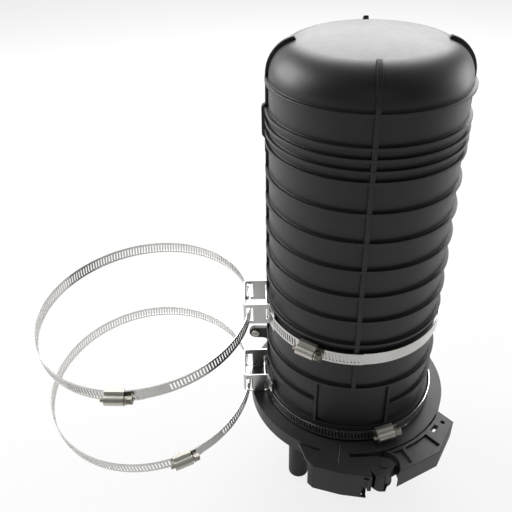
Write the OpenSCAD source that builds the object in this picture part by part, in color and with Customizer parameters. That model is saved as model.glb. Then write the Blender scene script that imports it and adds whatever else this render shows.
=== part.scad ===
// Dome splice closure: a moulded dome clamped to a base with cable ports, two worm-drive
// straps round the dome that carry steel brackets, and two pole hoops hung in the brackets.
// Upright, +Z up, with the origin on the dome's axis at the plane of the port ends.
// Azimuths are in degrees from the front (-Y) towards the right (+X).

/* [Dome] */
// Outer radius of the lowest ring
ring_r = 86; // [76:0.5:96]
// Height of the dome above its lowest ring
dome_h = 351; // [330:1:420]
// Loss of radius per millimetre of height
draft = 0.009; // [0.004:0.001:0.012]
// Wall thickness
wall = 3.2; // [2.4:0.1:4]
// How far the rings stand out from the wall
ring_out = 3.2; // [2.2:0.1:4]
// Thickness of a ring
ring_t = 2.6; // [1.8:0.1:3.6]
// Distance between the regular rings
ring_pitch = 26.65; // [22:0.05:27]
// Distance between the close rings under the shoulder
close_pitch = 9.05; // [6:0.05:10]
// Height of the shoulder ring above the highest close ring
shoulder_gap = 25; // [18:0.5:32]
// Radius of the rounded shoulder
shoulder_r = 28; // [18:0.5:34]
// Radius of the shallow crown
crown_R = 450; // [300:10:700]
// Width of the four upright ribs
rib_w = 5; // [3:0.5:7]
// Azimuth of the front rib
rib_az = 6; // [0:1:10]
// Half the angle of the blank label panel
panel_half = 24; // [16:1:30]
// Reach of the side lug from the wall
lug_reach = 21.5; // [16:0.5:26]
// Height of the side lug above the lowest ring
lug_h = 44; // [38:0.5:46]

/* [Sealed joint] */
// Outer radius of both flanges
flange_r = 99; // [97.5:0.5:99.5]
// Thickness of each flange
flange_t = 5; // [4:0.1:6]
// Height of the neck between the flange and the lowest ring
neck_h = 20.7; // [20:0.1:24]
// Section of the sealing ring
seal_d = 4; // [3:0.1:4.4]
// Gap left between the flanges when clamped
flange_gap = 0.3; // [0.1:0.05:0.5]

/* [Base] */
// Length of the cable ports below the hub
port_len = 80; // [60:1:110]
// Depth of the hub under the flange
hub_h = 18; // [14:0.5:24]
// Outer radius of the hub
hub_r = 84; // [80:0.5:86]
// Wall of the hub
hub_wall = 3.5; // [2.5:0.1:4.5]
// Outer diameter of a round port
port_d = 22; // [18:0.5:26]
// Wall of the ports
port_wall = 2.5; // [2:0.1:3.2]
// Length of a round port that a sleeve covers
port_sleeve = 60; // [46:1:64]
// Radius of the circle that the round ports stand on
port_circle = 65.4; // [63:0.2:67]
// Length of the oval port's section
oval_l = 64; // [52:1:70]
// Width of the oval port's section
oval_w = 32; // [24:1:36]

/* [Clamp] */
// Outer radius of the clamp
clamp_r = 103.4; // [103:0.1:105]
// Thickness of the clamp's lips
lip_t = 2.8; // [2.2:0.1:3.4]
// Running clearance between pieces that move
clear = 0.3; // [0.2:0.05:0.4]
// Radius of the hinge and latch pins
pin_r = 2.5; // [2:0.1:2.8]
// Azimuth at which the clamp's halves meet
split_az = 22; // [21:0.5:23]
// Azimuth of the latch pin
latch_az = 21.4; // [20.9:0.1:21.9]
// Distance of the latch pin from the dome's axis
latch_r = 119; // [118:0.2:120]
// Height of the latch block
block_h = 33.6; // [28:0.2:36]
// Height of the latch lever
lever_h = 22.4; // [21:0.2:24]
// Azimuth at which the lever ends
lever_end = 70; // [66:0.5:74]

/* [Worm clamps] */
// Width of every band
band_w = 12.7; // [10:0.1:13.5]
// Thickness of every band
band_t = 0.7; // [0.5:0.05:0.9]
// Distance between the slots
slot_pitch = 3.2; // [3:0.1:5]
// Width of a slot
slot_w = 1.4; // [1:0.1:1.6]
// Length of a slot
slot_l = 8.2; // [6:0.1:8.6]
// Slant of a slot
slot_slant = 8; // [0:1:10]
// Radius of the worm
worm_r = 3.6; // [3:0.1:4]
// Length of the housing
house_l = 18; // [14:0.5:20]
// Sheet thickness of the housing
house_t = 1; // [0.8:0.1:1.2]
// Radius of the upper strap
strap_up_r = 85; // [84.9:0.1:87]
// Radius of the lower strap
strap_low_r = 88.4; // [88.3:0.1:90]

/* [Brackets and pole hoops] */
// Azimuth of both brackets
bracket_az = -79.5; // [-82:0.5:-78]
// Width across the legs
bracket_w = 40; // [36:0.5:44]
// Height of a leg
bracket_h = 24; // [22:0.5:28]
// Reach from the strap to the web
bracket_reach = 23; // [21:0.5:28]
// Sheet thickness
sheet_t = 1.5; // [1.2:0.1:2]
// Width of the slot for a hoop
hoop_slot_w = 7; // [6:0.1:8]
// Height of the slot for a hoop
hoop_slot_h = 16.3; // [15.8:0.1:18]
// Inner radius of a pole hoop
hoop_r = 107.6; // [100:0.2:130]
// Azimuth of the upper hoop's centre, seen from its bracket
hoop_up_az = -78.3; // [-80:0.1:-77]
// Azimuth of the lower hoop's centre, seen from its bracket
hoop_low_az = -77.2; // [-80:0.1:-77]

/* [Trays] */
// Width of a tray
tray_w = 108; // [90:1:112]
// Height of a tray
tray_h = 200; // [170:1:220]
// Thickness of a tray
tray_t = 8.6; // [7:0.1:9]
// Wall and floor of a tray
tray_wall = 1.6; // [1.2:0.1:2]
// Number of splice grooves in a holder
grooves = 12; // [6:1:12]

/* [Hidden] */
$fn = 96;

black = "#2b2c2e";
steel = "#b9b9b4";
eps = 0.02;                                   // overshoot of a cut
fit = 0.08;                                   // radial running fit of a pin or a screw
joint_z = port_len + hub_h + flange_t;        // top of the base's flange
dome_z = joint_z + flange_gap + flange_t + neck_h;   // top edge of the lowest ring
top_z = dome_z + dome_h;
tray_n = 4;

// Places a child that is built along +X, with its tangent along +Y, at an azimuth.
module at_azimuth(az, r = 0, z = 0) rotate([0, 0, az - 90]) translate([r, 0, z]) children();
function polar(r, az) = [r * sin(az), -r * cos(az)];
// A sector of a revolved profile between two azimuths.
module sector(az_a, az_b) rotate([0, 0, az_a - 90]) rotate_extrude(angle = az_b - az_a) children();
// A rectangle with round corners, made of true arcs.
module rounded(w, h, r) {
    square([w - 2 * r, h], center = true);
    square([w, h - 2 * r], center = true);
    for (x = [-1, 1], y = [-1, 1]) translate([x * (w / 2 - r), y * (h / 2 - r)]) circle(r);
}
// Extrudes an outline drawn in the X-Z plane, across Y.
module across(w) rotate([90, 0, 0]) linear_extrude(w, center = true) children();

// ---------- dome ----------
close_h = 10 * ring_pitch;                    // height of the lowest close ring
shoulder_ring_h = close_h + 3 * close_pitch + shoulder_gap;
ring_heights = [for (i = [2, 4, 5, 6, 7, 8, 9]) i * ring_pitch];
close_heights = [for (i = [0:3]) close_h + i * close_pitch];
neck_r = ring_r + 0.6;
neck_rib_r = strap_low_r - 0.2;
function wall_r(h) = ring_r - ring_out - draft * h;
crown_a = wall_r(dome_h - shoulder_r) - shoulder_r;   // radius of the shoulder's centre circle
// Height of the shoulder's centre, where its arc meets the crown's arc smoothly
shoulder_z = dome_h - crown_R + sqrt(pow(crown_R - shoulder_r, 2) - crown_a * crown_a);
rib_end = 59;                                 // radius at which the ribs fade out on the shoulder
rib_cap = shoulder_z + sqrt(shoulder_r * shoulder_r - pow(rib_end - crown_a, 2));

// Outline of the dome's wall above the lowest ring, moved outwards by grow.
module dome_outline(grow = 0, low = 0) {
    meet = crown_a * (crown_R + grow) / (crown_R - shoulder_r);   // where the two arcs meet
    polygon([[0, low], [wall_r(low) + grow, low], [crown_a + shoulder_r + grow, shoulder_z],
        [0, shoulder_z]]);
    intersection() {
        translate([crown_a, shoulder_z]) circle(shoulder_r + grow);
        translate([crown_a - 5, shoulder_z - eps]) square(2 * shoulder_r);
    }
    intersection() {
        translate([0, dome_h - crown_R]) circle(crown_R + grow, $fn = 720);
        translate([0, shoulder_z - eps]) square([meet, 2 * shoulder_r]);
    }
}
module ring_profile(h) {
    r = wall_r(h);
    polygon([[r - 1, h - ring_t - 0.8], [r, h - ring_t - 0.8], [r + ring_out, h - ring_t],
        [r + ring_out, h - 0.4], [r + ring_out - 0.4, h], [r - 1, h]]);
}
// One upright rib, which follows the wall and fades out on the shoulder.
module rib(low) {
    across(rib_w) intersection() {
        dome_outline(ring_out - 0.3, low);
        translate([rib_end - 4, low]) square([ring_r, rib_cap + 0.1 - low]);
    }
}
module side_lug() {
    tip = wall_r(lug_h) + lug_reach - 6.5;
    root = wall_r(lug_h) - 1;
    across(5) difference() {
        union() {
            translate([tip, lug_h]) circle(6.5);
            translate([root, lug_h - 6.5]) square([tip - root, 13]);
            polygon([[root, lug_h - 12], [root, lug_h], [root + 10, lug_h - 6.4]]);
        }
        translate([tip, lug_h]) circle(2.4);
    }
}
module dome() color(black) translate([0, 0, dome_z]) difference() {
    union() {
        rotate_extrude() dome_outline();
        for (h = concat(ring_heights, close_heights, [shoulder_ring_h])) rotate_extrude() ring_profile(h);
        rotate_extrude() ring_profile(0);
        sector(rib_az + panel_half, rib_az + 360 - panel_half) ring_profile(ring_pitch);
        at_azimuth(rib_az) rib(2 * ring_pitch - 1);
        for (i = [1:3]) at_azimuth(rib_az + 90 * i) rib(0);
        for (s = [-1, 1]) at_azimuth(rib_az + s * panel_half)
            across(3) polygon([[wall_r(0) - 1, -1], [wall_r(0) + ring_out - 0.3, -1],
                [wall_r(0) + ring_out - 0.6, 2 * ring_pitch - 1], [wall_r(0) - 1, 2 * ring_pitch - 1]]);
        at_azimuth(rib_az - 90) {
            side_lug();
            across(6) translate([wall_r(close_h) - 1, close_h]) square([ring_out + 3.6, 30]);
        }
        // neck, its strap ribs and the flange
        rotate_extrude() polygon([[0, -neck_h - flange_t], [flange_r, -neck_h - flange_t],
            [flange_r, -neck_h], [neck_r + 2, -neck_h], [neck_r, -neck_h + 2], [neck_r, -3.4],
            [wall_r(0), -1.6], [wall_r(0), 0.5], [0, 0.5]]);
        for (i = [0:3]) at_azimuth(rib_az + 90 * i)
            across(rib_w) translate([neck_r - 1, -neck_h + 1])
                square([neck_rib_r - neck_r + 1, neck_h - 4]);
    }
    rotate_extrude() {
        dome_outline(-wall, -3.5);
        translate([0, -neck_h - flange_t - 1]) square([neck_r - wall, neck_h + flange_t - 2]);
    }
    // gate mark in the crown
    translate([0, 0, dome_h - 0.7]) difference() {
        cylinder(h = 2, r = 6);
        translate([0, 0, -1]) cylinder(h = 1.5, r = 1.6);
    }
}
module lug_screw() color(steel)
    at_azimuth(rib_az - 90, wall_r(lug_h) + lug_reach - 6.5, dome_z + lug_h) rotate([-90, 0, 0]) {
        translate([0, 0, -3.2]) cylinder(h = 5.8, r = 2.4 - fit);
        translate([0, 0, 2.5]) difference() {
            cylinder(h = 1.8, r = 4);
            translate([0, 0, 1.8]) cube([5, 1, 1.6], center = true);
        }
    }

// ---------- base ----------
module stadium(l, w) {
    square([l - w, w], center = true);
    for (s = [-1, 1]) translate([s * (l - w) / 2, 0]) circle(w / 2);
}
port_az = [-43, 43, 137, -137];
plate_z = port_len;                            // underside of the hub's plate
plate_t = 4;
screw_hole_r = 2.2;
port_root_r = port_d / 2 + 0.2;                // the port is a little thicker above its sleeve
screw_posts = [for (x = [-1, 1], y = [-1, 1]) [x * 40, y * 14 + 9]];
module base() color(black) difference() {
    union() {
        rotate_extrude() {
            translate([0, plate_z]) square([hub_r, hub_h + 1]);
            translate([0, joint_z - flange_t]) square([flange_r, flange_t]);
        }
        for (a = port_az) at_azimuth(a, port_circle) {
            translate([0, 0, 1.5]) cylinder(h = port_sleeve - 1.5, d = port_d);
            translate([0, 0, port_sleeve]) cylinder(h = port_len + 1 - port_sleeve, r = port_root_r);
            cylinder(h = 1.5, d1 = port_d - 3, d2 = port_d);
            for (g = [45, 135, 225, 315]) rotate([0, 0, g]) across(2)
                polygon([[port_d / 2 - 1, port_len - 12], [port_root_r, port_len - 12],
                    [port_d / 2 + 5, port_len], [port_d / 2 + 5, port_len + 1],
                    [port_d / 2 - 1, port_len + 1]]);
        }
        linear_extrude(port_len + 1) stadium(oval_l, oval_w);
    }
    // hollow hub, hollow ports and the groove for the sealing ring
    rotate_extrude() translate([0, plate_z + plate_t]) square([hub_r - hub_wall, hub_h + flange_t]);
    for (a = port_az) at_azimuth(a, port_circle, port_wall)
        cylinder(h = port_len + plate_t, d = port_d - 2 * port_wall);
    for (p = screw_posts) translate([p[0], p[1], plate_z + 1]) cylinder(h = plate_t, r = screw_hole_r);
    translate([0, 0, port_wall]) linear_extrude(port_len + plate_t)
        stadium(oval_l - 2 * port_wall, oval_w - 2 * port_wall);
    rotate_extrude() translate([seal_r - seal_d / 2 - 0.1, joint_z - seal_d + 0.15])
        square([seal_d + 0.2, seal_d]);
}
seal_r = 92;
module seal_ring() color("#1b1b1b") rotate_extrude()
    translate([seal_r, joint_z - seal_d / 2 + 0.2]) circle(d = seal_d);

// ---------- clamp ----------
rim_z = joint_z + flange_gap + flange_t + clear + lip_t - 0.4;   // top of the clamp's rim
low_z = joint_z - flange_t - clear - lip_t;                      // underside of the clamp
lip_rise = 0.5;                                // slope of the rim, up towards the dome
lip_r = strap_low_r + 0.4;
hinge_r = clamp_r + 5.6;
knuckle = (rim_z - low_z) / 3;
latch_p = polar(latch_r, latch_az);
fork_r = 9;
lever_root_r = 15;                             // the lever's walls start this far from its pin
block_r = 125;
module clamp_profile() difference() {
    polygon([[lip_r, low_z], [clamp_r, low_z], [clamp_r, rim_z], [lip_r, rim_z + lip_rise]]);
    translate([lip_r - 1, low_z + lip_t])
        square([flange_r + clear - lip_r + 1, joint_z + flange_gap + flange_t + clear - low_z - lip_t]);
}
// A plate with the latch block's outline, from z_a to z_b, drawn in by inset.
module block_plate(z_a, z_b, inset = 0) translate([0, 0, z_a]) linear_extrude(z_b - z_a)
    polygon([polar(clamp_r - 2 - inset, -9 + inset), polar(block_r - 3.5 - inset, -13.6 + inset * 0.6),
        polar(block_r - inset, -10.4 + inset * 0.6), polar(block_r + 1.5 - inset, 2),
        polar(block_r + 4.5 - inset, 13 - inset * 0.5), polar(clamp_r + 3.6, 14 - inset * 0.5),
        polar(clamp_r + 3.6, 6), polar(clamp_r - 2 - inset, 4)]);
// What the lever's root sweeps outside the pin as it opens, kept clear in the fork.
module swing_room() translate(latch_p) rotate(latch_az - 90) difference() {
    translate([0, -15]) square(3 * lever_root_r);
    circle(lever_root_r - 2 * clear);
}
module fork_plate(z_a, z_b) translate([0, 0, z_a]) linear_extrude(z_b - z_a) difference() {
    union() {
        translate(latch_p) circle(fork_r);
        polygon([polar(clamp_r + 3.6, 13), polar(block_r + 4.5, 12.6), polar(block_r + 7.5, 20.6),
            latch_p + [6, -4], latch_p, latch_p + [0, fork_r], polar(clamp_r + 3.6, 18)]);
    }
    swing_room();
}
module knuckles(side, parts) for (k = parts) {
    z_a = low_z + k * knuckle + (k > 0 ? clear / 2 : 0);
    z_b = low_z + (k + 1) * knuckle - (k < 2 ? clear / 2 : 0);
    translate([0, hinge_r, z_a]) cylinder(h = z_b - z_a, r = 5.4);
    translate([0, 0, z_a]) linear_extrude(z_b - z_a)
        polygon([[side * 0.6, hinge_r], [side * 5.3, hinge_r], [side * 13, clamp_r - 3],
            [side * 6, clamp_r - 2], [side * 1.2, clamp_r - 0.4]]);
}
module clamp_left() color(black) difference() {
    union() {
        sector(180 + 0.3, 360 + split_az - 0.2) clamp_profile();
        difference() {
            block_plate(rim_z - block_h, rim_z);
            block_plate(rim_z - block_h - 1, rim_z - 3, 3);
        }
        fork_plate(rim_z - 3, rim_z);
        fork_plate(rim_z - lever_h, rim_z - lever_h + 3);
        // front wall of the fork
        translate([0, 0, rim_z - lever_h]) linear_extrude(lever_h) difference() {
            polygon([polar(block_r + 1, 12.6), polar(block_r + 4.5, 12.6),
                polar(block_r + 7.3, 19.8), polar(block_r + 5, 19.2)]);
            swing_room();
        }
        // web that braces the block's left side
        translate([0, 0, rim_z - 5]) linear_extrude(2.4)
            polygon([polar(clamp_r - 1, -24), polar(clamp_r - 1, -9), polar(block_r - 4, -12),
                polar(block_r - 3.5, -13.6)]);
        knuckles(-1, [0, 2]);
    }
    // seam groove in the rim, and two notches beside the fork
    at_azimuth(0, clamp_r + 1, rim_z) cube([26, 0.8, 1.2], center = true);
    at_azimuth(12, block_r + 3, rim_z - lever_h - 2) cube([9, 5, 14], center = true);
    at_azimuth(12.6, block_r + 4, rim_z - 4) cube([9, 5, 2.4], center = true);
    translate([0, hinge_r, low_z - 1]) cylinder(h = 40, r = pin_r + fit / 2);
    translate([latch_p[0], latch_p[1], rim_z - lever_h - 1]) cylinder(h = lever_h + 4, r = pin_r + fit / 2);
}
lug_az = 31;                                   // azimuth of the catch lug on the right half
deck_z = rim_z - 6.5;                          // underside of the lever's deck
lug_top = deck_z - 2 * clear;
module clamp_right() color(black) difference() {
    union() {
        sector(split_az + 0.2, 180 - 0.3) clamp_profile();
        knuckles(1, [1]);
        sector(lug_az, lug_az + 3) translate([clamp_r - 1, low_z + 3]) square([4.4, lug_top - low_z - 3]);
    }
    translate([0, hinge_r, low_z - 1]) cylinder(h = 40, r = pin_r + fit);
}
module hinge_pin() color(steel) translate([0, hinge_r, 0]) {
    translate([0, 0, low_z - 1]) cylinder(h = rim_z - low_z + 1, r = pin_r);
    translate([0, 0, rim_z]) cylinder(h = 1.6, r = pin_r + 1.3);
    translate([0, 0, low_z - 2.2]) cylinder(h = 1.6, r = pin_r + 0.8);
}
// Outline of the lever. With an inset it is the hollow, which is open towards the dome.
module lever_outline(inset = 0) difference() {
    polygon(concat([for (a = [24:4:lever_end - 3]) polar(clamp_r + 1.2 - inset, a)],
        [polar(clamp_r + 1.2 - inset, lever_end - 0.7 * inset),
        polar(block_r - 3 - inset, lever_end - 3 - inset * 0.6), polar(block_r + 5 - inset, 47.8),
        polar(block_r + 8 - inset, 21.4)]));
    translate(latch_p) circle(lever_root_r + inset);
}
pocket_az = [[27, 34], [36, 51]];              // the two pockets in the lever's top
module latch_lever() color(black) difference() {
    union() {
        difference() {
            translate([0, 0, rim_z - lever_h]) linear_extrude(lever_h) lever_outline();
            translate([0, 0, rim_z - lever_h - 1]) linear_extrude(deck_z - rim_z + lever_h + 1)
                lever_outline(3);
        }
        translate([latch_p[0], latch_p[1], rim_z - lever_h + 3 + clear])
            linear_extrude(lever_h - 6 - 2 * clear) {
                circle(fork_r - 0.6);
                rotate(42) translate([0, -5]) square([19, 10]);
            }
        // hook that draws in the right half
        translate([0, 0, low_z + 3]) sector(lug_az + 9, lug_az + 11)
            translate([clamp_r + 1.4, 0]) square([15, 13]);
    }
    for (p = pocket_az) translate([0, 0, rim_z - 2.6]) linear_extrude(5) intersection() {
        difference() {
            circle(block_r - 0.5);
            circle(clamp_r + 4.5);
            translate(latch_p) circle(18);
        }
        polygon([[0, 0], polar(2 * clamp_r, p[0]), polar(2 * clamp_r, p[1])]);
    }
    at_azimuth(57.5, 110, rim_z) cube([4, 9, 30], center = true);
    at_azimuth(63.8, 113, rim_z - 8) cylinder(h = 12, r = 2);
    translate([latch_p[0], latch_p[1], rim_z - lever_h - 1]) cylinder(h = lever_h + 4, r = pin_r + fit);
}
module latch_pin() color(black) translate([latch_p[0], latch_p[1], 0]) {
    translate([0, 0, rim_z - lever_h - 1]) cylinder(h = lever_h + 1, r = pin_r);
    translate([0, 0, rim_z]) cylinder(h = 1.2, r = pin_r + 1.3);
    translate([0, 0, rim_z - lever_h - 1.8]) cylinder(h = 1.6, r = pin_r + 0.8);
}

// ---------- worm clamps ----------
worm_x = 2 * band_t + 0.3 + worm_r;            // worm's axis, outside the band's inner radius
// Slots through a band from azimuth az_a to az_b, between two radii.
module slots(r_a, r_b, az_a, az_b) {
    step = slot_pitch / r_a * 180 / PI;
    for (a = [az_a:step:az_b]) at_azimuth(a, (r_a + r_b) / 2)
        rotate([slot_slant, 0, 0]) cube([r_b - r_a + 0.6, slot_w, slot_l], center = true);
}
// A band whose slotted end passes under the worm and out as a tail.
module worm_band(r, az, smooth, tail) {
    half = house_l / 2 / r * 180 / PI;         // half the housing, as an angle
    difference() {
        union() {
            rotate_extrude() translate([r, -band_w / 2]) square([band_t, band_w]);
            sector(az - half - 1, az + half + tail) translate([r + band_t - 0.1, -band_w / 2])
                square([band_t + 0.1, band_w]);
        }
        slots(r, r + band_t, az + smooth, az + 360 - half - 2);
        slots(r + band_t + 0.35, r + 2 * band_t + 0.35, az + half + 1.5, az + half + tail - 1.5);
    }
}
module house_outline(grow) {
    translate([worm_x, 0]) circle(worm_r + 0.3 + grow);
    z = band_w / 2 + 0.3 + grow;
    polygon([[-0.6 - grow, -z], [2 * band_t + 0.25 + grow, -z], [worm_x - 1, -worm_r - 0.1 - grow],
        [worm_x - 1, worm_r + 0.1 + grow], [2 * band_t + 0.25 + grow, z], [-0.6 - grow, z]]);
}
// Stamped housing with an end plate on each side, in which the screw turns.
module worm_housing(r, az) at_azimuth(az, r) {
    difference() {
        across(house_l) house_outline(house_t);
        across(house_l + 2) house_outline(0);
    }
    for (s = [-1, 1]) difference() {
        translate([worm_x, s * (house_l / 2 - 0.6), 0]) rotate([90, 0, 0])
            cylinder(h = 1.2, r = worm_r + 0.35, center = true);
        translate([worm_x, 0, 0]) rotate([90, 0, 0])
            cylinder(h = house_l + 9, r = journal_r(s) + fit, center = true);
    }
}
function journal_r(s) = s > 0 ? 2.6 : 2;       // radius of the screw where an end plate holds it
thread_n = 5;
thread_form = [[0, -0.9], [0.35, 0], [0.65, 0], [1, -0.9]];   // one pitch: share of it, and height
module worm_screw(r, az) at_azimuth(az, r + worm_x) rotate([-90, 0, 0]) {
    l = house_l - 3;
    pitch = l / thread_n;
    difference() {
        union() {
            rotate_extrude() polygon(concat([[0, -l / 2]],
                [for (i = [0:thread_n - 1], p = thread_form)
                    [worm_r + p[1], -l / 2 + (i + p[0]) * pitch]], [[0, l / 2]]));
            cylinder(h = house_l / 2 + 3, r = journal_r(1));
            translate([0, 0, -house_l / 2 - 4]) cylinder(h = house_l / 2, r = journal_r(-1));
            translate([0, 0, house_l / 2 + 1]) cylinder(h = 1.2, r = 4.2);
            translate([0, 0, house_l / 2 + 2]) cylinder(h = 5, r = 4, $fn = 6);
        }
        translate([0, 0, house_l / 2 + 7]) cube([9, 1.2, 3], center = true);
    }
}
strap_up_z = dome_z + 4 * ring_pitch - ring_t - 1.3 - bracket_h / 2;
strap_low_z = dome_z - ring_t - 0.4 - band_w / 2;
strap_up_az = -24;
strap_low_az = 28;
strap_plain = 130;                             // angle of each strap that has no slots
module strap_band_upper() color(steel) translate([0, 0, strap_up_z])
    worm_band(strap_up_r, strap_up_az, strap_plain, 28);
module strap_housing_upper() color(steel) translate([0, 0, strap_up_z])
    worm_housing(strap_up_r, strap_up_az);
module strap_screw_upper() color(steel) translate([0, 0, strap_up_z])
    worm_screw(strap_up_r, strap_up_az);
module strap_band_lower() color(steel) translate([0, 0, strap_low_z])
    worm_band(strap_low_r, strap_low_az, strap_plain, 14);
module strap_housing_lower() color(steel) translate([0, 0, strap_low_z])
    worm_housing(strap_low_r, strap_low_az);
module strap_screw_lower() color(steel) translate([0, 0, strap_low_z])
    worm_screw(strap_low_r, strap_low_az);

// ---------- brackets ----------
// A strip folded into a U, with feet held under the strap. The lower one is raised by lift, to
// stand clear of the clamp's rim; slot_z is the height of its hoop slot over the strap's middle.
foot_sweep = 9.2;                              // length of a foot, as an angle
bracket_lift = rim_z + lip_rise + clear + bracket_h / 2 - strap_low_z;
slot_low_z = bracket_lift - bracket_h / 2 + hoop_slot_h / 2 + 1.6;
module bracket(strap_r, lift = 0, slot_z = 0) {
    web_x = strap_r + bracket_reach;
    foot_r = strap_r - 0.15 - sheet_t;
    leg_az = asin((bracket_w / 2 - sheet_t / 2) / (foot_r + sheet_t / 2));
    root_x = (foot_r + sheet_t / 2) * cos(leg_az);
    strap_x = strap_r * cos(leg_az) - 0.35;    // inner end of the strap's slot
    difference() {
        translate([0, 0, lift]) linear_extrude(bracket_h, center = true) {
            difference() {
                union() {
                    translate([web_x - 10, 0]) rounded(20, bracket_w, 4);
                    translate([root_x, -bracket_w / 2]) square([web_x - root_x - 8, bracket_w]);
                }
                translate([web_x - 10 - sheet_t, 0]) rounded(20, bracket_w - 2 * sheet_t, 4 - sheet_t);
                translate([root_x - 10, -bracket_w / 2 + sheet_t])
                    square([web_x - root_x + 2, bracket_w - 2 * sheet_t]);
            }
            for (s = [-1, 1]) intersection() {
                difference() {
                    circle(foot_r + sheet_t);
                    circle(foot_r);
                }
                polygon([[0, 0], 2 * foot_r * [cos(leg_az - 0.15), s * sin(leg_az - 0.15)],
                    2 * foot_r * [cos(leg_az + foot_sweep), s * sin(leg_az + foot_sweep)]]);
            }
        }
        // slots for the pole hoop and for the strap
        translate([web_x - sheet_t - 1 - hoop_slot_w / 2, 0, slot_z])
            cube([hoop_slot_w, bracket_w + 2, hoop_slot_h], center = true);
        translate([strap_x + 1.8, 0, 0]) cube([3.6, bracket_w + 2, band_w + 0.8], center = true);
    }
}
module bracket_upper() color(steel) at_azimuth(bracket_az, 0, strap_up_z) bracket(strap_up_r);
module bracket_lower() color(steel) at_azimuth(bracket_az, 0, strap_low_z)
    bracket(strap_low_r, bracket_lift, slot_low_z);

// ---------- pole hoops ----------
// Hangs a hoop in its bracket: strap radius and height, azimuth, and the way that it tips.
module hang(strap_r, z, az, tip) {
    p = polar(strap_r + bracket_reach - sheet_t - 4.8, bracket_az);
    lean = abs(sin(bracket_az) * sin(tip[0]) * cos(tip[1]) - cos(bracket_az) * sin(tip[1]));
    sag = (hoop_slot_h - band_w - bracket_w * lean) / 2 - 0.2;
    translate([p[0], p[1], z - sag]) rotate(tip) rotate([0, 0, az - 90]) translate([hoop_r, 0, 0])
        rotate([0, 0, 90 - az]) children();
}
tip_up = [3.3, -3.1, 0];
tip_low = [4.9, -1.9, 0];
hoop_up_lock = 5;                              // azimuth of each housing on its hoop
hoop_low_lock = 33;
module hang_up() hang(strap_up_r, strap_up_z, hoop_up_az, tip_up) children();
module hang_low() hang(strap_low_r, strap_low_z + slot_low_z, hoop_low_az, tip_low) children();
module hoop_band_upper() color(steel) hang_up() worm_band(hoop_r, hoop_up_lock, 26, 8);
module hoop_housing_upper() color(steel) hang_up() worm_housing(hoop_r, hoop_up_lock);
module hoop_screw_upper() color(steel) hang_up() worm_screw(hoop_r, hoop_up_lock);
module hoop_band_lower() color(steel) hang_low() worm_band(hoop_r, hoop_low_lock, 26, 6);
module hoop_housing_lower() color(steel) hang_low() worm_housing(hoop_r, hoop_low_lock);
module hoop_screw_lower() color(steel) hang_low() worm_screw(hoop_r, hoop_low_lock);

// ---------- inside ----------
frame_y = 9;                                   // front face of the frame's upright
frame_t = 2;
frame_z = plate_z + plate_t;                   // the frame stands on the hub's plate
tray_z = frame_z + 70;                         // lower edge of the trays
tray_gap = 0.25;
frame_top = tray_z + tray_h - 10;
function tray_y(i) = frame_y - tray_gap - i * (tray_t + tray_gap);   // back face of tray i, from 0
module tray_frame() color("#c9c9c4") difference() {
    union() {
        translate([-50, -12, frame_z]) cube([100, 39, frame_t]);
        translate([-46, frame_y, frame_z]) cube([92, frame_t, frame_top - frame_z]);
        for (s = [-1, 1]) translate([s * 46 - (s > 0 ? frame_t : 0), frame_y, frame_z])
            cube([frame_t, 14, tray_z - frame_z]);
    }
    for (p = screw_posts) translate([p[0], p[1], frame_z - 1]) cylinder(h = 5, r = screw_hole_r);
    for (x = [-24, 24], z = [30, 90, 150, 210]) translate([x, frame_y + 1, frame_z + z])
        cube([4, 5, 18], center = true);
    translate([0, frame_y + 1, frame_z + 30]) rotate([90, 0, 0]) cylinder(h = 6, r = 12, center = true);
    // way for the looped cables out of the oval port
    translate([0, 0, frame_z]) linear_extrude(frame_t + 1) stadium(oval_l - 2 * port_wall, 14);
}
module frame_screws() color(steel) for (p = screw_posts) translate([p[0], p[1], frame_z + frame_t]) {
    difference() {
        cylinder(h = 2.2, r = 3.6);
        translate([0, 0, 2.2]) cube([5, 0.9, 1.6], center = true);
    }
    translate([0, 0, -frame_t - 2.6]) cylinder(h = frame_t + 2.6 + eps, r = screw_hole_r - fit);
}
basket_y = frame_y + frame_t + 0.2;
basket_h = tray_h - 62;
module storage_basket() color("#e4e4e0") translate([0, basket_y, tray_z]) difference() {
    translate([-48, 0, 0]) cube([96, 32, basket_h]);
    translate([-46, 2, 2]) cube([92, 31, basket_h - 4]);
    for (x = [-34:17:34]) translate([x, 1, basket_h / 2]) cube([6, 6, basket_h - 40], center = true);
    for (x = [-49, 39]) translate([x, 20, basket_h / 2 - 20]) cube([10, 13, 40]);
}
holder_z = tray_z - 30;
module tray_holder() color("#3a3f45") {
    difference() {
        translate([-32, tray_y(tray_n) - 1, holder_z]) cube([64, frame_y - 0.2 - tray_y(tray_n) + 1, 29.8]);
        for (i = [0:tray_n - 1]) translate([0, tray_y(i) - tray_t / 2, holder_z + 22])
            cube([50, tray_t - 1.6, 18], center = true);
        translate([0, tray_y(tray_n) / 2, holder_z + 5]) cube([52, 60, 12], center = true);
    }
}
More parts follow.
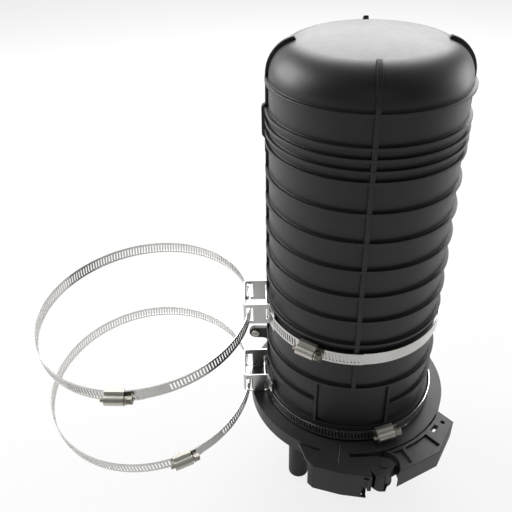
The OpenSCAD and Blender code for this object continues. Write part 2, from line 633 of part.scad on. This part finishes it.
// A splice tray: floor at the back, rim, two winding drums, hinge tongue and finger tabs.
module tray(i) translate([0, tray_y(i), tray_z]) rotate([90, 0, 0]) {
    floor_t = tray_wall;
    difference() {
        linear_extrude(tray_t) translate([0, tray_h / 2]) rounded(tray_w, tray_h, 12);
        translate([0, 0, floor_t]) linear_extrude(tray_t) translate([0, tray_h / 2])
            rounded(tray_w - 2 * tray_wall, tray_h - 2 * tray_wall, 12 - tray_wall);
        for (x = [-1, 1]) translate([x * 34, 3, tray_t / 2 + floor_t])
            cube([12, 12, tray_t], center = true);
    }
    for (z = [52, tray_h - 52]) translate([0, z, floor_t - eps]) difference() {
        cylinder(h = tray_t - floor_t - 1, r = 30);
        translate([0, 0, -1]) cylinder(h = tray_t, r = 28.4);
        for (a = [0, 90]) rotate([0, 0, a + 45]) cube([70, 14, 20], center = true);
    }
    for (x = [-1, 1], z = [60, tray_h / 2, tray_h - 60]) translate([x * (tray_w / 2 - 5), z, tray_t - 1.6])
        cube([8, 10, 1.2], center = true);
    translate([-20, -12, floor_t]) cube([40, 13, tray_t - 2 * floor_t - 0.8]);
}
module tray_1() color("#e8e8e4") tray(0);
module tray_2() color("#e8e8e4") tray(1);
module tray_3() color("#e8e8e4") tray(2);
module tray_4() color("#e8e8e4") tray(3);
module tray_cover() color("#cfe0ea") translate([0, tray_y(tray_n), tray_z])
    rotate([90, 0, 0]) linear_extrude(1.5) translate([0, tray_h / 2]) difference() {
        rounded(tray_w, tray_h, 12);
        circle(4);
    }
module splice_holders() color("#4a6fa5") for (i = [0:tray_n - 1])
    translate([0, tray_y(i) - tray_wall, tray_z + tray_h / 2]) rotate([90, 0, 0]) difference() {
        translate([-(grooves * 2.9 + 2) / 2, -8, 0]) cube([grooves * 2.9 + 2, 16, 5]);
        for (k = [0:grooves - 1]) translate([(k - (grooves - 1) / 2) * 2.9, 0, 3.6])
            cube([2, 20, 4.6], center = true);
    }
strap_z = tray_z + tray_h - 52;
strap_d = frame_y + frame_t - tray_y(tray_n) + 1.5 + 0.6;    // depth inside the strap
module tray_strap() color("#1c1c1c")
    translate([0, frame_y + frame_t + 0.3 - strap_d / 2, strap_z]) linear_extrude(16) difference() {
        rounded(tray_w + 3.6, strap_d + 3, 2.5);
        rounded(tray_w + 0.6, strap_d, 1);
    }
module strength_clamps() color("#d2d2cc") for (a = port_az) at_azimuth(a, 0, frame_z) difference() {
    union() {
        translate([port_circle - 19, -6, 0]) cube([6, 12, 2]);
        translate([port_circle - 15, -6, 0]) cube([2, 12, 22]);
    }
    translate([port_circle - 14, 0, 15]) rotate([0, 90, 0]) cylinder(h = 6, r = 2.1, center = true);
}
module clamp_bolts() color(steel) for (a = port_az) at_azimuth(a, port_circle - 15, frame_z + 15)
    rotate([0, 90, 0]) {
        translate([0, 0, -4]) cylinder(h = 10, r = 2.1 - fit);
        translate([0, 0, 2.1]) cylinder(h = 2.6, r = 4, $fn = 6);
        translate([0, 0, -3]) cylinder(h = 2.9, r = 4);
    }

dome();
base();
seal_ring();
clamp_left();
clamp_right();
hinge_pin();
latch_lever();
latch_pin();
lug_screw();
strap_band_upper();
strap_housing_upper();
strap_screw_upper();
strap_band_lower();
strap_housing_lower();
strap_screw_lower();
bracket_upper();
bracket_lower();
hoop_band_upper();
hoop_housing_upper();
hoop_screw_upper();
hoop_band_lower();
hoop_housing_lower();
hoop_screw_lower();
tray_frame();
frame_screws();
storage_basket();
tray_holder();
tray_1();
tray_2();
tray_3();
tray_4();
tray_cover();
splice_holders();
tray_strap();
strength_clamps();
clamp_bolts();
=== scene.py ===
from math import atan2, cos, pi, radians, sin, sqrt, tan

import bmesh
import bpy
from mathutils import Matrix, Vector


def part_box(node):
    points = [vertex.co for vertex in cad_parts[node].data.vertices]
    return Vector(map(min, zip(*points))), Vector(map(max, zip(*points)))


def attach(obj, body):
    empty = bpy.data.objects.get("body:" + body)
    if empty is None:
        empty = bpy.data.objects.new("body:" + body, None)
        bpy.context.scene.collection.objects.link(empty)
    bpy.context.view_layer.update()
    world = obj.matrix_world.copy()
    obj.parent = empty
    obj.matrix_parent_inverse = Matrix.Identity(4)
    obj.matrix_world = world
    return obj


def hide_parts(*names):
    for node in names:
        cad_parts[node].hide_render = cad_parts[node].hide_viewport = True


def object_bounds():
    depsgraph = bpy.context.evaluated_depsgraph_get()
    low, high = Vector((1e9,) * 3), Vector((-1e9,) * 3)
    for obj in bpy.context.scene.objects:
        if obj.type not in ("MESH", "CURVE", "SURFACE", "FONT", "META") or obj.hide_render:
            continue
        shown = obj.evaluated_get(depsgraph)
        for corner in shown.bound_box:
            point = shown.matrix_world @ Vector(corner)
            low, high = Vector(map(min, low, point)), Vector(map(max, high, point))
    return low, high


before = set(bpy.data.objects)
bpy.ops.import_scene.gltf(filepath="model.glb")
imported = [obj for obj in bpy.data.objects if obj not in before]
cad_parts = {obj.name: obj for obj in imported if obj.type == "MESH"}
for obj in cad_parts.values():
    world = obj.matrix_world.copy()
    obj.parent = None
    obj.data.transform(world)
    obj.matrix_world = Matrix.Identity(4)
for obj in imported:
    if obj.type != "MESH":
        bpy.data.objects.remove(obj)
cad_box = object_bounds()
MM = 0.001


# ---- base ----
# The base is one black polypropylene moulding: a flange, a hub and closed cable ports. It stands
# on its port ends, and everything inside the closure is screwed to it.

class Link:
    """An output of a shader node. Arithmetic on it adds Math nodes, and node() adds any other."""

    def __init__(self, socket):
        self.socket = socket

    def node(self, kind, settings=None, inputs=None, output=0):
        """Adds a node: first its settings, a ramp's stops among them, then its sockets."""
        tree = self.socket.id_data
        made = tree.nodes.new("ShaderNode" + kind)
        for name, value in (settings or {}).items():
            if name == "stops":
                ramp = made.color_ramp.elements
                while len(ramp) < len(value):
                    ramp.new(1)
                for stop, (position, shade) in zip(ramp, value):
                    stop.position, stop.color = position, (shade, shade, shade, 1)
            else:
                setattr(made, name, value)
        for name, value in (inputs or {}).items():
            if isinstance(value, Link):
                tree.links.new(value.socket, made.inputs[name])
            else:
                made.inputs[name].default_value = value
        return Link(made.outputs[output])

    def maths(self, operation, *values):
        return self.node("Math", {"operation": operation}, dict(enumerate(values)))

    def __add__(self, other):
        return self.maths("ADD", self, other)

    def __mul__(self, other):
        return self.maths("MULTIPLY", self, other)

    __radd__ = __add__
    __rmul__ = __mul__

    def scaled(self, x, y, z):
        """The vector with each axis multiplied."""
        return self.node("VectorMath", {"operation": "MULTIPLY"}, {0: self, 1: (x, y, z)})

    def noise(self, scale, detail=2.0, roughness=0.5):
        return self.node("TexNoise", None, {"Vector": self, "Scale": scale, "Detail": detail,
                                            "Roughness": roughness})

    def blend(self, first, second):
        """A colour between two colours, with this value as the share of the second."""
        return self.node("Mix", {"data_type": "RGBA"}, {0: self, 6: first, 7: second}, output=2)

    def bump(self, strength, distance):
        return self.node("Bump", None, {"Height": self, "Strength": strength, "Distance": distance})


class Finish:
    """A material with a Principled shader: fixed sockets at the start, varying ones through vary()."""

    def __init__(self, name, **fixed):
        self.material = bpy.data.materials.new(name)
        self.material.use_nodes = True
        self.tree = self.material.node_tree
        self.shader = self.tree.nodes["Principled BSDF"]
        for socket, value in fixed.items():
            self.shader.inputs[socket.replace("_", " ")].default_value = value
        self.place = Link(self.tree.nodes.new("ShaderNodeTexCoord").outputs["Object"])

    def vary(self, **links):
        for socket, link in links.items():
            self.tree.links.new(link.socket, self.shader.inputs[socket.replace("_", " ")])


def moulded_plastic(name, colour, paler, roughness, grain=0.12):
    """Moulded polyolefin: slow flow marks in the colour, and a fine spark-eroded grain."""
    finish = Finish(name)
    flow = finish.place.scaled(1, 1, 0.35).noise(22, 4)
    grain_height = finish.place.noise(1500, 3, 0.6)
    mottle = finish.place.noise(160, 3)
    finish.vary(Base_Color=flow.blend(colour, paler), Roughness=flow * 0.1 + mottle * 0.08 + roughness,
                Normal=grain_height.bump(grain, 0.2 * MM))
    return finish


def add_piece(name, mesh, finish, body, slot, *nodes, crease=32):
    """Makes the mesh an object that rides on a body and stands for the named CAD nodes."""
    data = bpy.data.meshes.new(name)
    mesh.to_mesh(data)
    mesh.free()
    data.shade_smooth()
    data.set_sharp_from_angle(angle=radians(crease))
    data.materials.append(finish.material)
    made = bpy.data.objects.new(name, data)
    bpy.context.scene.collection.objects.link(made)
    even = made.modifiers.new("even_normals", "WEIGHTED_NORMAL")
    even.keep_sharp = True
    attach(made, body)
    if nodes:
        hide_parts(*nodes)
    return made


def soften(node, edge, finish, slot, body="closure", corner=35, segments=2):
    """A smooth copy of a CAD node with its edges rounded, which stands for it."""
    mesh = bmesh.new()
    mesh.from_mesh(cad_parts[node].data)
    bmesh.ops.remove_doubles(mesh, verts=mesh.verts, dist=0.002 * MM)
    bmesh.ops.dissolve_limit(mesh, angle_limit=radians(0.5), verts=mesh.verts, edges=mesh.edges)
    if edge:
        sharp = [e for e in mesh.edges if len(e.link_faces) == 2 and e.calc_face_angle(0) > radians(corner)]
        bmesh.ops.bevel(mesh, geom=sharp, offset=edge, affect="EDGES", segments=segments, profile=0.5,
                        material=-1, clamp_overlap=False)
    return add_piece(node + "_body", mesh, finish, body, slot, node)


base_black = moulded_plastic("base_black", (0.009, 0.009, 0.0095, 1), (0.016, 0.016, 0.017, 1), 0.4)
soften("base", 0.5 * MM, base_black, "base_plastic")


# ---- sealing ring ----
# A soft rubber ring lies in the groove of the base's flange, and the clamp squeezes it.
seal_rubber = moulded_plastic("seal_rubber", (0.012, 0.012, 0.012, 1), (0.02, 0.02, 0.02, 1), 0.6)
soften("seal_ring", 0, seal_rubber, "rubber")


# ---- trays and their frame ----
# Inside stand a folded steel frame, splice trays of pale plastic, a storage basket and the clamps
# for the cables' strength members. The closed dome hides them, so they keep their plain forms.
def dress(node, finish):
    """Gives a CAD node a finish and keeps its mesh."""
    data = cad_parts[node].data
    data.materials.clear()
    data.materials.append(finish.material)


def rolled_steel(name, colour, darker, roughness, turn=(0, 0, 0), streak=0.1):
    """Rolled stainless strip: fine streaks run along it. turn tips the pattern with a tipped band."""
    finish = Finish(name, Metallic=1.0)
    along = finish.place.node("Mapping", None, {"Vector": finish.place, "Rotation": turn})
    streaks = along.scaled(6, 6, 420).noise(1, 5, 0.65)
    smudge = finish.place.noise(38, 3)
    scratch = along.scaled(20, 20, 2600).noise(1, 2)
    finish.vary(Base_Color=smudge.blend(darker, colour),
                Roughness=streaks * streak + smudge * 0.1 + roughness,
                Normal=(streaks + scratch * 0.4).bump(0.1, 0.1 * MM))
    return finish


frame_steel = rolled_steel("frame_steel", (0.62, 0.62, 0.6, 1), (0.5, 0.5, 0.49, 1), 0.25)
tray_white = moulded_plastic("tray_white", (0.72, 0.72, 0.69, 1), (0.8, 0.8, 0.78, 1), 0.35)
hinge_grey = moulded_plastic("hinge_grey", (0.1, 0.11, 0.13, 1), (0.14, 0.15, 0.17, 1), 0.45)
holder_blue = moulded_plastic("holder_blue", (0.06, 0.13, 0.36, 1), (0.09, 0.18, 0.45, 1), 0.45)
cover_clear = moulded_plastic("cover_clear", (0.7, 0.8, 0.85, 1), (0.78, 0.86, 0.9, 1), 0.15)
strap_web = moulded_plastic("strap_web", (0.012, 0.012, 0.012, 1), (0.03, 0.03, 0.03, 1), 0.8, 0.5)
inner_finishes = {
    "tray_frame": frame_steel, "frame_screws": frame_steel, "storage_basket": tray_white,
    "tray_holder": hinge_grey, "tray_1": tray_white, "tray_2": tray_white, "tray_3": tray_white,
    "tray_4": tray_white, "tray_cover": cover_clear, "splice_holders": holder_blue,
    "tray_strap": strap_web, "strength_clamps": frame_steel, "clamp_bolts": frame_steel}
for node, finish in inner_finishes.items():
    dress(node, finish)


# ---- dome ----
# One black polypropylene moulding. Its wall tapers upwards and carries rings, four upright ribs,
# a blank panel for a label, a lug for an earth screw, and the flange that the clamp holds.
dome_black = moulded_plastic("dome_black", (0.006, 0.006, 0.0065, 1), (0.011, 0.011, 0.0115, 1), 0.36)
dome_low, dome_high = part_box("dome")
dome_rise = 351 * MM
first_ring = dome_high.z - dome_rise
ring_radius = 86 * MM
ring_out = 3.2 * MM
ring_thick = 2.6 * MM
draft = 0.009
wall = 3.2 * MM
pitch = 26.65 * MM
close_pitch = 9.05 * MM
flange_radius = 99 * MM
flange_thick = 5 * MM
neck_radius = 86.6 * MM
neck_drop = 20.7 * MM
shoulder_radius = 28 * MM
crown_radius = 450 * MM
rib_width = 5 * MM
rib_azimuth = 6
panel_half = 24
rib_end = 57 * MM
edge_round = 0.45 * MM
root_round = 0.5 * MM
ring_slope = 0.9 * MM
sunk = 1 * MM  # how far a rib or a lug reaches into the wall


def wall_radius(height):
    return ring_radius - ring_out - draft * height


shoulder_centre = wall_radius(dome_rise - shoulder_radius) - shoulder_radius
shoulder_rise = sqrt((crown_radius - shoulder_radius) ** 2 - shoulder_centre ** 2)
shoulder_height = dome_rise - crown_radius + shoulder_rise
shoulder_turn = atan2(shoulder_height - dome_rise + crown_radius, shoulder_centre)


def rounded(corners, steps=3):
    """An outline through corners (x, y, radius), each radius turned into a short arc."""
    points = []
    for i, (x, y, radius) in enumerate(corners):
        here = Vector((x, y))
        if not radius:
            points.append(here)
            continue
        back = (Vector(corners[i - 1][:2]) - here).normalized()
        ahead = (Vector(corners[(i + 1) % len(corners)][:2]) - here).normalized()
        half = back.angle(ahead) / 2
        centre = here + (back + ahead).normalized() * (radius / sin(half))
        first = here + back * (radius / tan(half)) - centre
        turn = (here + ahead * (radius / tan(half)) - centre).angle_signed(first)
        for k in range(steps + 1):
            points.append(centre + Matrix.Rotation(turn * k / steps, 2) @ first)
    return points


def arc(centre_x, centre_y, radius, start, end, steps):
    """Points on an arc, from one angle to another in radians."""
    angles = [start + (end - start) * k / steps for k in range(steps + 1)]
    return [Vector((centre_x + radius * cos(a), centre_y + radius * sin(a))) for a in angles]


def revolve(mesh, outline, base, steps, start=0, sweep=360):
    """Turns a closed outline of (radius, height) round the upright axis, over a range of azimuths."""
    turned = Matrix.Rotation(radians(start - 90), 4, "Z")
    corners = [mesh.verts.new(turned @ Vector((r, 0, base + h))) for r, h in outline]
    sides = [mesh.edges.new(pair) for pair in zip(corners, corners[1:] + corners[:1])]
    full = sweep == 360
    made = bmesh.ops.spin(mesh, geom=corners + sides, axis=(0, 0, 1), cent=(0, 0, 0), steps=steps,
                          angle=radians(sweep), use_merge=full, use_duplicate=False)
    if not full:
        last = [v for v in made["geom_last"] if isinstance(v, bmesh.types.BMVert)]
        mesh.faces.new(corners)
        mesh.faces.new(last)


def dome_ring(height):
    """The corners of one ring, from its root up to the wall above it."""
    inner = wall_radius(height)
    outer = inner + ring_out
    return [(inner, height - ring_thick - ring_slope, root_round), (outer, height - ring_thick, edge_round),
            (outer, height, edge_round), (inner, height, root_round)]


def shoulder_path(out, steps=20):
    """The shoulder and crown, moved outwards, from the shoulder's foot to the axis."""
    path = arc(shoulder_centre, shoulder_height, shoulder_radius + out, 0, shoulder_turn, steps)
    path += arc(0, dome_rise - crown_radius, crown_radius + out, shoulder_turn, pi / 2, 8)[1:]
    return [(p.x, p.y, 0) for p in path]


close_rings = 10 * pitch
ring_heights = [n * pitch for n in (2, 4, 5, 6, 7, 8, 9)]
ring_heights += [close_rings + n * close_pitch for n in range(4)]
ring_heights.append(close_rings + 3 * close_pitch + 25 * MM)
neck_inner = neck_radius - wall
corners = [(neck_inner, -neck_drop - flange_thick, 0), (flange_radius, -neck_drop - flange_thick, 0.7 * MM),
           (flange_radius, -neck_drop, 0.7 * MM), (neck_radius, -neck_drop, 1.6 * MM),
           (neck_radius, -3.4 * MM, 0.4 * MM), (ring_radius - 1.2 * MM, -ring_thick, 0.3 * MM),
           (ring_radius, -ring_thick, 0.4 * MM), (ring_radius, 0, edge_round),
           (wall_radius(0), 0, root_round)]
for height in ring_heights:
    corners += dome_ring(height)
corners += shoulder_path(0)[:-1] + [(0, dome_rise, 0), (0, dome_rise - wall, 0)]
corners += shoulder_path(-wall)[-2::-1] + [(wall_radius(0) - wall, -3 * MM, 0), (neck_inner, -3 * MM, 0)]
shell = bmesh.new()
revolve(shell, rounded(corners), first_ring, 240)
bmesh.ops.remove_doubles(shell, verts=shell.verts, dist=0.001 * MM)
bmesh.ops.dissolve_degenerate(shell, edges=shell.edges, dist=0.001 * MM)

# the ring that the label panel interrupts
half_ring = dome_ring(pitch)
outline = [(half_ring[0][0] - sunk, half_ring[0][1], 0)] + half_ring[:3]
outline.append((half_ring[3][0] - sunk, pitch, 0))
revolve(shell, rounded(outline), first_ring, 200, rib_azimuth + panel_half, 360 - 2 * panel_half)


def slab(mesh, outline, azimuth, thickness, edge, taper=1.0):
    """A plate drawn as (radius, height), standing across an azimuth, its free edges rounded.

    Beyond its root the plate is taper times as thick.
    """
    corners = [mesh.verts.new((x, -thickness / 2, y)) for x, y in outline]
    face = mesh.faces.new(corners)
    raised = bmesh.ops.extrude_face_region(mesh, geom=[face])
    new = [g for g in raised["geom"] if isinstance(g, bmesh.types.BMVert)]
    bmesh.ops.translate(mesh, verts=new, vec=(0, thickness, 0))
    every = corners + new
    root = min(v.co.x for v in every)
    for v in every:
        if v.co.x > root + sunk:
            v.co.y *= taper
    rims = {e for v in every for e in v.link_edges
            if abs(e.verts[0].co.y - e.verts[1].co.y) < 0.1 * thickness}
    outer = [e for e in rims if max(e.verts[0].co.x, e.verts[1].co.x) > root + sunk / 2]
    made = bmesh.ops.bevel(mesh, geom=outer, offset=edge, affect="EDGES", segments=2, profile=0.5,
                           material=-1)
    every = list({v for v in every if v.is_valid} | set(made["verts"]))
    turned = Matrix.Rotation(radians(azimuth - 90), 4, "Z")
    bmesh.ops.transform(mesh, matrix=Matrix.Translation((0, 0, first_ring)) @ turned, verts=every)


def upright_rib(low):
    """A rib's outline: up the wall, over the shoulder and down into the crown's edge."""
    out = ring_out - 0.3 * MM
    top = [p[:2] for p in shoulder_path(out) if p[0] > rib_end + 2 * MM]
    inside = [p[:2] for p in shoulder_path(-1.2 * MM) if p[0] > rib_end - 1 * MM]
    return [(wall_radius(low) - 1.2 * MM, low), (wall_radius(low) + out, low)] + top + inside[::-1]


# the four upright ribs; the front one starts above the label panel
panel_top = 2 * pitch
for quarter in range(4):
    rib_low = panel_top - sunk if quarter == 0 else 0
    slab(shell, upright_rib(rib_low), rib_azimuth + 90 * quarter, rib_width, 0.6 * MM, 0.86)

# the low ribs at both sides of the panel
foot = wall_radius(0)
border = [(foot - sunk, 0), (foot + ring_out - 0.4 * MM, 0), (foot + ring_out - 0.9 * MM, panel_top),
          (foot - sunk, panel_top)]
for side in (-1, 1):
    slab(shell, border, rib_azimuth + side * panel_half, 3 * MM, 0.4 * MM)

# the short ribs on the neck, which the lower strap bears on
neck_out = neck_radius + 1.6 * MM
neck_top = -3.2 * MM
neck_rib = [(neck_radius - sunk, -neck_drop), (neck_out, -neck_drop), (neck_out, neck_top),
            (neck_radius - sunk, neck_top)]
for quarter in range(4):
    slab(shell, neck_rib, rib_azimuth + 90 * quarter, rib_width, 0.4 * MM)

# the side lug for the earth screw, with a round tip and a hollow curve under it
lug_height = 44 * MM
lug_round = 6.5 * MM
lug_wall = wall_radius(lug_height)
hollow_round = 8 * MM
lug = arc(lug_wall + 15 * MM, lug_height, lug_round, -pi / 2, pi / 2, 14)
lug += [Vector((lug_wall - sunk, lug_height + lug_round)), Vector((lug_wall - sunk, lug_height - 13 * MM))]
lug += arc(lug_wall + hollow_round, lug_height - 14.5 * MM, hollow_round, pi, pi / 2, 6)
slab(shell, lug, rib_azimuth - 90, 5 * MM, 0.7 * MM)

# the stop on the left rib, which is thicker beside the close rings
stop_out = wall_radius(close_rings) + ring_out + 2.6 * MM
stop_step = stop_out - 2.4 * MM
stop_foot = close_rings - 14 * MM
stop = [(stop_out - 5 * MM, stop_foot, 0), (stop_step, stop_foot, 1 * MM),
        (stop_step, close_rings - 1 * MM, 1 * MM), (stop_out, close_rings + 2 * MM, 1.5 * MM),
        (stop_out, close_rings + 27 * MM, 2 * MM), (stop_out - 4 * MM, close_rings + 30 * MM, 1 * MM)]
slab(shell, rounded(stop), rib_azimuth - 90, 6 * MM, 0.6 * MM)
bmesh.ops.recalc_face_normals(shell, faces=shell.faces)
add_piece("dome_shell", shell, dome_black, "closure", "dome_plastic", "dome")


# ---- earth screw ----
# A plated pan-head screw in the lug on the dome's left side.
plated = rolled_steel("plated_steel", (0.6, 0.58, 0.52, 1), (0.45, 0.43, 0.38, 1), 0.28)
soften("lug_screw", 0.25 * MM, plated, "steel")


# ---- clamp ----
# Two glass-filled nylon half rings turn on a pin at the back. A lever on the left half draws the
# right half in, and both grip the two flanges in their channel.
clamp_black = moulded_plastic("clamp_black", (0.011, 0.0115, 0.0125, 1), (0.02, 0.0205, 0.0215, 1), 0.36)
soften("clamp_left", 0.5 * MM, clamp_black, "clamp_plastic")
soften("clamp_right", 0.5 * MM, clamp_black, "clamp_plastic", "clamp_half")
soften("latch_lever", 0.5 * MM, clamp_black, "clamp_plastic", "lever")
soften("latch_pin", 0.3 * MM, clamp_black, "clamp_plastic")
soften("hinge_pin", 0.3 * MM, plated, "steel")


# ---- straps, brackets and pole hoops ----
# Worm clamps: a slotted stainless band, a stamped housing and a plated screw. Two straps hold the
# folded brackets to the dome, and a larger hoop for the pole hangs in each bracket.
hoop_tips = {"upper": (radians(3.3), radians(-3.1), 0), "lower": (radians(4.9), radians(-1.9), 0)}
strap_steel = rolled_steel("strap_steel", (0.66, 0.65, 0.63, 1), (0.55, 0.54, 0.52, 1), 0.12)
house_steel = rolled_steel("house_steel", (0.68, 0.66, 0.6, 1), (0.55, 0.53, 0.47, 1), 0.3)
screw_steel = rolled_steel("screw_steel", (0.6, 0.57, 0.5, 1), (0.42, 0.39, 0.33, 1), 0.25)
bracket_steel = rolled_steel("bracket_steel", (0.64, 0.64, 0.63, 1), (0.5, 0.5, 0.49, 1), 0.2)
for place, tip in hoop_tips.items():
    hoop_steel = rolled_steel("hoop_steel_" + place, (0.66, 0.65, 0.63, 1), (0.55, 0.54, 0.52, 1), 0.12,
                              tuple(-angle for angle in tip))
    for kind, band_steel in (("strap", strap_steel), ("hoop", hoop_steel)):
        soften(f"{kind}_band_{place}", 0, band_steel, "band_steel")
        soften(f"{kind}_housing_{place}", 0.2 * MM, house_steel, "band_steel")
        soften(f"{kind}_screw_{place}", 0.25 * MM, screw_steel, "screw_steel", f"{kind}_worm_{place}")
    soften("bracket_" + place, 0.2 * MM, bracket_steel, "sheet_steel")


# ---- studio ----
# A pale floor under a white surround, large soft lights at the left, above and at the right, and
# the camera in front and above, turned a little to the left.
def stage_material(name, colour, whiteness, in_gloss):
    """A pale matt surface that shows the camera mostly white, and reflections a little of it."""
    material = bpy.data.materials.new(name)
    material.use_nodes = True
    tree = material.node_tree
    tree.nodes.clear()
    rays = Link(tree.nodes.new("ShaderNodeLightPath").outputs["Is Camera Ray"])
    glossy = Link(rays.socket.node.outputs["Is Glossy Ray"])
    seen = rays * whiteness + glossy * in_gloss
    matt = rays.node("BsdfDiffuse", None, {"Color": colour})
    white = rays.node("Emission", None, {"Color": (1, 1, 1, 1), "Strength": 1.0})
    mixed = rays.node("MixShader", None, {0: seen, 1: matt, 2: white})
    out = tree.nodes.new("ShaderNodeOutputMaterial")
    tree.links.new(mixed.socket, out.inputs["Surface"])
    return material


floor_mesh = bmesh.new()
bmesh.ops.create_grid(floor_mesh, x_segments=1, y_segments=1, size=9,
                      matrix=Matrix.Translation((0, 0, cad_box[0].z)))
floor_data = bpy.data.meshes.new("floor")
floor_mesh.to_mesh(floor_data)
floor_mesh.free()
floor_data.materials.append(stage_material("floor_white", (0.6, 0.6, 0.6, 1), 0.8, 0.12))
floor = bpy.data.objects.new("floor", floor_data)
bpy.context.scene.collection.objects.link(floor)

# the surround lights the object weakly from the front and more from behind
world = bpy.data.worlds.new("surround")
bpy.context.scene.world = world
world.use_nodes = True
world_tree = world.node_tree
world_tree.nodes.clear()
camera_ray = Link(world_tree.nodes.new("ShaderNodeLightPath").outputs["Is Camera Ray"])
direction = Link(world_tree.nodes.new("ShaderNodeTexCoord").outputs["Generated"])
towards_back = direction.node("SeparateXYZ", None, {0: direction}, output=1)
level = towards_back.node("MapRange", {"clamp": True}, {0: towards_back, 1: -0.6, 2: 0.6, 3: 0.1, 4: 0.75})
soft = camera_ray.node("Background", None, {"Color": (1, 1, 1, 1), "Strength": level})
plain = camera_ray.node("Background", None, {"Color": (1, 1, 1, 1), "Strength": 1.0})
mixed = camera_ray.node("MixShader", None, {0: camera_ray, 1: soft, 2: plain})
world_out = world_tree.nodes.new("ShaderNodeOutputWorld")
world_tree.links.new(mixed.socket, world_out.inputs["Surface"])


def soft_light(name, place, size, watts, aim=(0, 0, 0.25)):
    """A square lamp that faces the middle of the object."""
    lamp = bpy.data.lights.new(name, "AREA")
    lamp.size, lamp.energy = size, watts
    made = bpy.data.objects.new(name, lamp)
    made.location = place
    made.rotation_euler = (Vector(aim) - Vector(place)).to_track_quat("-Z", "Y").to_euler()
    bpy.context.scene.collection.objects.link(made)


soft_light("window_left", (-1.8, 0.45, 1.0), 1.2, 42)
soft_light("overhead", (0.0, 1.5, 1.4), 1.5, 42)
soft_light("side_right", (1.5, 1.0, 0.5), 0.9, 12)
soft_light("front_fill", (0.3, -1.8, 1.2), 1.2, 2)

camera_data = bpy.data.cameras.new("camera")
camera_data.lens, camera_data.sensor_width = 42.93, 36
camera = bpy.data.objects.new("camera", camera_data)
bpy.context.scene.collection.objects.link(camera)
bpy.context.scene.camera = camera
stand_back = 5.671 * ring_radius
stand_up = 5.5711 * ring_radius
turned_left = radians(11.136)
looking_down = radians(34.751)
rolled = radians(-1.804)
camera.matrix_world = (Matrix.Translation((0, -stand_back, first_ring + stand_up))
                       @ Matrix.Rotation(turned_left, 4, "Z")
                       @ Matrix.Rotation(radians(90) - looking_down, 4, "X")
                       @ Matrix.Rotation(rolled, 4, "Z"))
bpy.context.scene.view_settings.view_transform = "Standard"
